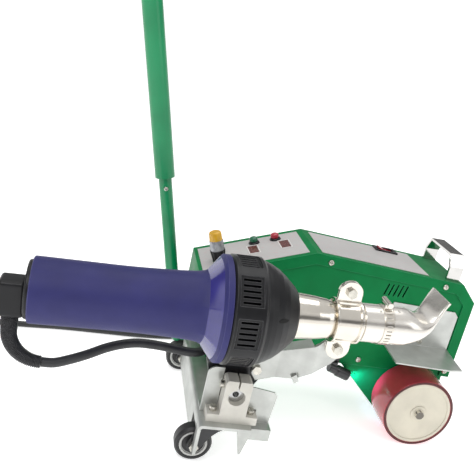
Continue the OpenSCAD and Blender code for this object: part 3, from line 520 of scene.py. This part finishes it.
ceramic = surface("ceramic", (0.70, 0.66, 0.56), rough=0.7, vary=0.10, patch=90, grain=700, bump=0.3)


def dress(obj, *materials):
    data = obj.data
    data.materials.clear()
    for m in materials:
        data.materials.append(m)


looks = {
    "platform": zinc, "chassis_bolts": bolts, "caster_forks": black_steel, "clamp_block": cast,
    "guide_shaft": ground, "shaft_flange": cast, "guide_bracket": zinc, "pointer": zinc,
    "side_panel": green, "top_cover": green, "base_tray": green, "control_overlays": grey_film,
    "display_windows": window, "panel_bezels": black_plastic, "carry_handle": polished,
    "chain_case": green, "roller_bearings": ground, "drive_chain": ground, "gear_motor": motor_paint,
    "heat_shield": zinc, "lamp_body": black_steel, "lamp_lens": lens, "control_board": board,
    "power_supply": motor_paint, "pole_bracket": green, "pole_rod": green_pole,
    "cable_grommet": rubber, "cord_gland": black_plastic, "power_plug": rubber, "near_wheel": near_tyre,
    "far_wheel": far_tyre, "roller_sprocket": ground, "motor_sprocket": ground, "rocker": red_cap,
    "pole_tube": green_pole, "pole_grip": rubber, "snap_button": bolts, "slide_bush": bronze,
    "swing_arm": zinc, "pivot_yoke": black_steel, "tube_clamps": hot, "arm_bolts": bolts,
    "front_shell": black_plastic, "heater_tube": hot, "heating_core": ceramic,
    "fan_motor": motor_paint, "fan_impeller": black_plastic, "hose_clamp": hot,
    "cover_screws": bolts, "roller_tread": silicone, "roller_hub": cream, "start_button": green_cap,
    "stop_button": red_cap, "speed_knob": amber, "handle_shell": blue, "nozzle": nozzle_steel,
    "rear_connector": black_plastic, "power_cord": cord_skin, "cord_coil": cord_skin,
    "gun_cable": cord_skin,
}
for name, material in looks.items():
    dress(nodes[name], material)
dress(mains_cord, cord_skin)
dress(gun_lead, cord_skin)


def stands_for(obj, body, slot_name, *replaced):
    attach(obj, body)
    if replaced:
        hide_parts(*replaced)
    return obj


# ---------- gun ----------

def collar_facets(angle, r, z):
    """Eight shallow flats on the flare, fading to round at the barrel and at the rim."""
    z_mm = z / MM
    if not -32 < z_mm < -12.2:
        return r
    share = math.sin(math.pi * (z_mm + 32) / 19.8)
    step = math.pi / 4
    local = (angle + step / 2) % step - step / 2
    flat = math.cos(step / 2) / math.cos(local)
    return r * (1 + share * 0.75 * (flat - 1) * (1 if r > 0.027 else 0))


def make_grip():
    outer = [(25.4, -168), (27.0, -168), (27.8, -167.3), (28.0, -166)]
    outer += [(28 - 0.4 * i / 6, -166 + 66 * i / 6) for i in range(1, 7)]
    outer += [(27.6 + 2.0 * (i / 6) ** 2, -100 + 64 * i / 6) for i in range(1, 7)]
    outer += [(30.2, -31), (31.0, -27), (32.2, -24.6), (36, -21.6), (40.6, -18), (44.4, -15),
              (46.2, -13.4), (47, -12.2), (47, -7.4), (46.6, -7), (44.6, -7), (44.6, -10.6),
              (43.6, -12), (28.8, -23), (27.1, -36), (25.1, -100), (25.0, -164)]
    grip = lathe("grip_shell", [(r * MM, z * MM) for r, z in outer], GUN, 160, collar_facets, 24)
    dress(grip, blue, blue_gloss)
    inverse = GUN.inverted()
    for p in grip.data.polygons:
        c = inverse @ p.center
        if -0.0235 < c.z < -0.0150 and math.hypot(c.x, c.y) > 0.032:
            p.material_index = 1
    return stands_for(grip, "gun", "blue_grip", "handle_shell")


make_grip()


def bent_nozzle():
    """A thin tube that bends up and flattens into a wide slot, with four rivets."""
    sleeve_r, wall, mouth_w, mouth_h = 17.4 * MM, 1.2 * MM, 36 * MM, 4.4 * MM
    mouth_angle = math.radians(62)
    pitch = math.asin(gun_way.z)
    start_pull, end_pull = 26 * MM, 24 * MM
    start = Vector((0.113, gun_at.y, 0.1706))
    end = Vector((0.1543, gun_at.y + 0.020, 0.1983))
    b = start + start_pull * gun_way
    c = end - end_pull * Vector((math.cos(mouth_angle), 0, math.sin(mouth_angle)))
    sides = 64

    def ring(place, angle, w, h, power):
        out = []
        for k in range(sides):
            t = 2 * math.pi * k / sides
            x, y = math.cos(t), math.sin(t)
            ww = w * math.copysign(abs(x) ** power, x)
            hh = h * math.copysign(abs(y) ** power, y)
            out.append(place + Vector((-hh * math.sin(angle), ww, hh * math.cos(angle))))
        return out

    def rings(thin):
        out = [ring(gun_at + s * MM * gun_way, pitch, sleeve_r - thin, sleeve_r - thin, 1)
               for s in range(118, 158, 5)]
        for i in range(41):
            u = i / 40
            v = 1 - u
            q = 3 * u * u - 2 * u ** 3
            place = v ** 3 * start + 3 * v * v * u * b + 3 * v * u * u * c + u ** 3 * end
            flat = math.sin(math.pi / 2 * min(1, 1.15 * u))
            w = sleeve_r + (mouth_w / 2 - sleeve_r) * q - thin
            h = sleeve_r + (mouth_h / 2 - sleeve_r) * flat - thin * (1 - 0.3 * u)
            out.append(ring(place, pitch + (mouth_angle - pitch) * q, w, h, 1 - 0.55 * q))
        return out

    outer, inner = rings(0), rings(wall)
    verts = [p for r in outer for p in r] + [p for r in inner for p in r]
    count, off = len(outer), len(outer) * sides
    faces = []
    for i in range(count - 1):
        for k in range(sides):
            m = (k + 1) % sides
            faces.append((i * sides + k, i * sides + m, (i + 1) * sides + m, (i + 1) * sides + k))
            faces.append((off + i * sides + m, off + i * sides + k, off + (i + 1) * sides + k,
                          off + (i + 1) * sides + m))
    for e in (0, count - 1):
        for k in range(sides):
            m = (k + 1) % sides
            faces.append((e * sides + k, e * sides + m, off + e * sides + m, off + e * sides + k))
    tube = new_object("nozzle_tube", verts, faces, None, 28)
    dress(tube, nozzle_steel)
    rivets = []
    for along, angle in ((132, 205), (150, 200), (150, 330), (132, 335)):
        a = math.radians(angle)
        spot = GUN @ Vector((sleeve_r * math.cos(a), sleeve_r * math.sin(a), along * MM))
        out = (GUN.to_3x3() @ Vector((math.cos(a), math.sin(a), 0))).normalized()
        head = [(0, -0.0004), (0.0011, -0.0004), (0.0011, 0.0001), (0.0008, 0.0004), (0, 0.0005)]
        rivet = lathe("rivet", head, axes(spot, out, gun_way), 20)
        dress(rivet, bolts)
        rivets.append(rivet)
    return stands_for(join("nozzle_tube", [tube] + rivets), "gun", "hot_steel", "nozzle")


bent_nozzle()


def nose_slot_shade():
    """A flat black lens-shaped patch on the nose, facing out and up from the case: painted shade standing for
    the small slot's dark inside.
    """
    spin = math.radians(253)
    out = GUN.to_3x3() @ Vector((math.cos(spin), math.sin(spin), 0.45)).normalized()
    spot = GUN @ Vector((0.0398 * math.cos(spin), 0.0398 * math.sin(spin), 0.0368))
    half, deep, rise = 0.0052, 0.0003, 0.0017
    outline = [(half * math.cos(math.pi * k / 12), rise * math.sin(math.pi * k / 12)
                * abs(math.sin(math.pi * k / 12)) ** 0.3) for k in range(24)]
    slot = extrude("nose_slot_shade", outline, -deep, deep, axes(spot, out, GUN.to_3x3() @ Vector((1, 0, 0))), 30)
    # near-black painted shade for the slot's unlit inside; the patch is a thin sheet, not a recess
    dress(slot, surface("slot_painted_shade", (0.001, 0.001, 0.001), rough=0.8, vary=0.3, patch=300, bump=0.1))
    return stands_for(slot, "gun", "black_plastic")


nose_slot_shade()


def make_connector():
    """The elbow plug at the back of the grip, with its ribbed bend relief."""
    pieces = []
    cap = [(0, -172), (20, -172), (24, -171.4), (24.9, -170.2), (24.9, -162), (22, -162),
           (22, -169), (0, -169)]
    pieces.append(lathe("cap", [(r * MM, z * MM) for r, z in cap], GUN, 96))
    body = rounded([(-0.009, -0.011), (0.023, -0.011), (0.023, 0.011), (-0.009, 0.011)], 0.0045, 6)
    shell = extrude("elbow", body, -0.193, -0.1715, GUN)
    bevel = shell.modifiers.new("round", "BEVEL")
    bevel.width = 0.0028
    bevel.segments = 4
    bevel.limit_method = "ANGLE"
    bevel.angle_limit = math.radians(50)
    pieces.append(shell)
    neck = [GUN @ Vector((0.0225 + 0.0165 * t / 12, 0, -0.183)) for t in range(13)]
    bend_at = Vector((0.0388, 0, -0.155))
    bend = []
    for i in range(1, 33):
        a = math.radians(90 * i / 32)
        bend.append(GUN @ (bend_at + 0.028 * Vector((math.sin(a), 0, -math.cos(a)))))
    line = neck + bend
    smooth = []
    for a, b in zip(line, line[1:]):
        smooth += [a + (b - a) * k / 4 for k in range(4)]
    smooth.append(line[-1])
    total = len(smooth)

    def ribs(i):
        along = i / total
        base = 0.0073 - 0.0016 * along
        return base - (0.0007 if (i // 2) % 2 else 0.0)

    boot = sweep("boot", smooth, 0.007, 32, None, ribs, 20)
    pieces.append(boot)
    for p in pieces:
        dress(p, black_plastic)
    bpy.context.view_layer.objects.active = shell
    shell.select_set(True)
    bpy.ops.object.modifier_apply(modifier="round")
    return stands_for(join("elbow_plug", pieces), "gun", "grommet_rubber", "rear_connector")


make_connector()


# ---------- panel parts ----------

CAP_BACK = 0.0040


def dome_button(name, node_name, joint, body, slot_name, material):
    press = joint_axis(joint)
    out = -press
    low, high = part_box(node_name)
    place = axes((low + high) / 2, out, ROOF_Y)
    place.translation -= out * CAP_BACK
    profile = [(0, 0.0004), (3.3, 0.0004), (3.3, 3.0), (4.6, 3.0), (4.6, 5.4)]
    profile += [(4.6 * math.cos(math.radians(a)), 5.4 + 2.4 * math.sin(math.radians(a)))
                for a in range(6, 90, 6)] + [(0, 7.8)]
    cap = lathe(name, [(r * MM, z * MM) for r, z in profile], place, 64)
    dress(cap, material)
    return stands_for(cap, body, slot_name, node_name)


dome_button("start_cap", "start_button", "start_press", "start", "green_button", green_cap)
dome_button("stop_cap", "stop_button", "stop_press", "stop", "red_button", red_cap)


def make_knob():
    way = -joint_axis("speed_turn")
    place = axes(joint_point("speed_turn"), way, ROOF_Y)

    def ridged(count, depth):
        return lambda a, r, z: r - (depth * (0.5 + 0.5 * math.cos(count * a)) if r > 0.0055 else 0)

    skirt = [(0, 0), (6.2, 0), (6.8, 0.5), (8.4, 11.8), (8.2, 12.6), (0, 12.6)]
    band = [(0, 12.5), (7.2, 12.5), (7.4, 12.8), (7.4, 22.9), (7.2, 23.4), (0, 23.4)]
    cap = [(0, 23.3), (6.8, 23.3), (7, 23.7), (6.6, 31.2), (6.0, 32.4), (4.8, 33), (0, 33)]
    stem = [(0, -8), (3.4, -8), (3.5, -7.8), (3.5, 0.2), (0, 0.2)]
    pieces = []
    for name, outline, material, count, depth in (
            ("skirt", skirt, black_plastic, 10, 0.0007), ("band", band, knurl, 40, 0.00035),
            ("cap", cap, amber, 20, 0.00012), ("stem", stem, ground, 1, 0.0)):
        part = lathe(name, [(r * MM, z * MM) for r, z in outline], place, 240, ridged(count, depth), 25)
        dress(part, material)
        pieces.append(part)
    return stands_for(join("dial_knob", pieces), "knob", "knob", "speed_knob")


make_knob()


DISPLAY_DISTANCES = (0.0264, 0.0613)
DISPLAY_LIFT = 0.00052


def display_frames():
    """A light printed border round each display window."""
    low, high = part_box("display_windows")
    normal = -joint_axis("start_press")
    along = Vector((normal.z, 0, -normal.x)).normalized()
    pieces = []
    centre_y = (low.y + high.y) / 2
    ridge = Vector((0.0555, centre_y, 0.1915))
    for distance in DISPLAY_DISTANCES:
        place = Matrix((along, Vector((0, 1, 0)), normal)).transposed().to_4x4()
        place.translation = ridge - along * distance + normal * DISPLAY_LIFT
        w, h = 0.0064, 0.0119
        outer = rounded([(-w, -h), (w, -h), (w, h), (-w, h)], 0.0008)
        inner = [(x * 0.80, y * 0.89) for x, y in outer]
        n = len(outer)
        verts = [(x, y, z) for z in (0, 0.0003) for ring in (outer, inner) for x, y in ring]
        faces = []
        for k in range(n):
            m = (k + 1) % n
            faces += [(2 * n + k, 2 * n + m, 3 * n + m, 3 * n + k), (k, n + k, n + m, m),
                      (k, m, 2 * n + m, 2 * n + k), (n + k, 3 * n + k, 3 * n + m, n + m)]
        pieces.append(new_object("border", verts, faces, place))
    light = surface("window_border", (0.74, 0.72, 0.70), rough=0.35, vary=0.04, patch=200, bump=0.02)
    for p in pieces:
        dress(p, light)
    return stands_for(join("window_borders", pieces), "machine", "panel_film")


display_frames()


def cross_screw(place):
    """A pan head with a real cross recess."""
    head = [(0, -0.0030), (0.0015, -0.0030), (0.0015, 0), (0.0032, 0), (0.0032, 0.0008), (0.0029, 0.0014),
            (0.0022, 0.0019), (0.0012, 0.0021), (0, 0.0021)]
    screw = lathe("screw", head, place, 40)
    arms = []
    for x, y in ((0.0018, 0.00038), (0.00038, 0.0018)):
        arms.append(extrude("slot", [(-x, -y), (x, -y), (x, y), (-x, y)], 0.0010, 0.0040, place))
    for arm in arms:
        cut = screw.modifiers.new("cut", "BOOLEAN")
        cut.operation = "DIFFERENCE"
        cut.solver = "EXACT"
        cut.object = arm
        bpy.context.view_layer.objects.active = screw
        bpy.ops.object.modifier_apply(modifier=cut.name)
        bpy.data.objects.remove(arm)
    screw.data.set_sharp_from_angle(angle=math.radians(32))
    return screw


def make_screws():
    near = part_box("side_panel")[0].y
    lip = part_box("top_cover")[0].y
    spots = [(72.5, lip, 183.5), (207.5, lip, 176), (240, lip, 75), (198, lip, 108), (134.5, near, 75)]
    pieces = [cross_screw(axes((x * MM, y, z * MM), (0, -1, 0), (0, 0, 1))) for x, y, z in spots]
    for p in pieces:
        dress(p, bolts)
    return stands_for(join("side_screws", pieces), "machine", "bolt_steel", "cover_screws")


make_screws()


# ---------- roller ----------

def make_roller():
    low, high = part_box("roller_tread")
    middle = joint_point("roller_spin")
    radius = (high.z - low.z) / 2
    width = high.y - low.y
    place = axes((middle.x, low.y, middle.z), (0, 1, 0), (0, 0, 1))
    inner = radius - 0.0035
    edge = 0.0018
    outline = rounded([(inner, 0), (radius, 0), (radius, width), (inner, width)], edge, 6)
    tread = lathe("silicone_tread", [tuple(p) for p in outline], place, 160)
    # a darker copy of the red silicone, used as painted shade on the tread's side
    painted_shade_side = surface("silicone_painted_shade", (0.085, 0.006, 0.008), rough=0.35, vary=0.2, patch=120, bump=0.06)
    dress(tread, silicone, painted_shade_side)
    # the near side face (lowest y) gets the painted shade copy
    for p in tread.data.polygons:
        if p.center.y < low.y + 0.00035:
            p.material_index = 1
    stands_for(tread, "roller", "silicone_red", "roller_tread")


make_roller()


# ---------- stage and light ----------

def area_light(name, place, target, size, power, colour=(1, 1, 1)):
    data = bpy.data.lights.new(name, "AREA")
    data.shape = "RECTANGLE"
    data.size, data.size_y = size
    data.energy = power
    data.color = colour
    light = bpy.data.objects.new(name, data)
    light.location = place
    light.rotation_euler = (Vector(target) - Vector(place)).to_track_quat("-Z", "Y").to_euler()
    bpy.context.scene.collection.objects.link(light)


def make_stage():
    bpy.ops.mesh.primitive_plane_add(size=30, location=(0, 0, -0.0003))
    floor = bpy.context.object
    floor.name = "floor"
    pale = bpy.data.materials.new("pale_floor")
    pale.use_nodes = True
    shader = pale.node_tree.nodes["Principled BSDF"]
    shader.inputs["Base Color"].default_value = (0.90, 0.90, 0.90, 1)
    shader.inputs["Roughness"].default_value = 0.75
    shader.inputs["Emission Color"].default_value = (1, 1, 1, 1)
    shader.inputs["Emission Strength"].default_value = 0.62
    floor.data.materials.append(pale)
    world = bpy.data.worlds.new("studio")
    bpy.context.scene.world = world
    world.use_nodes = True
    tree = world.node_tree
    where = tree.nodes.new("ShaderNodeTexCoord").outputs["Generated"]
    split = tree.nodes.new("ShaderNodeSeparateXYZ")
    tree.links.new(where, split.inputs["Vector"])
    sky = tree.nodes.new("ShaderNodeValToRGB")
    stops = sky.color_ramp.elements
    stops[0].position, stops[0].color = 0.0, (1.0, 1.0, 1.0, 1)
    stops[1].position, stops[1].color = 1.0, (0.62, 0.62, 0.62, 1)
    for position, value in ((0.12, 1.0), (0.19, 0.16), (0.40, 0.12), (0.52, 0.55)):
        stops.new(position).color = (value, value, value, 1)
    tree.links.new(split.outputs["Z"], sky.inputs["Fac"])
    tree.links.new(sky.outputs["Color"], tree.nodes["Background"].inputs["Color"])
    tree.nodes["Background"].inputs["Strength"].default_value = 1.15
    area_light("key", (-0.7, -0.9, 1.5), (0, 0, 0.1), (0.9, 0.7), 9)
    area_light("fill", (1.2, -0.9, 0.9), (0.1, 0, 0.1), (0.8, 0.8), 2.5)
    area_light("top", (0.1, 0.4, 1.6), (0.05, 0, 0.1), (1.2, 0.8), 6)
    glow = bpy.data.lights.new("lamp_glow", "SPOT")
    glow.energy = 0.16
    glow.color = (0.45, 0.55, 1.0)
    glow.spot_size = math.radians(80)
    glow.spot_blend = 0.8
    glow.shadow_soft_size = 0.004
    spot = bpy.data.objects.new("lamp_glow", glow)
    lens_low, lens_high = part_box("lamp_lens")
    tilt = math.radians(18)
    way = Vector((math.cos(tilt), 0, -math.sin(tilt)))
    spot.location = (lens_low + lens_high) / 2 + way * 0.006
    spot.rotation_euler = (way + Vector((0, 0.35, 0))).to_track_quat("-Z", "Y").to_euler()
    bpy.context.scene.collection.objects.link(spot)
    bpy.context.scene.view_settings.view_transform = "Standard"


make_stage()

bpy.context.view_layer.update()
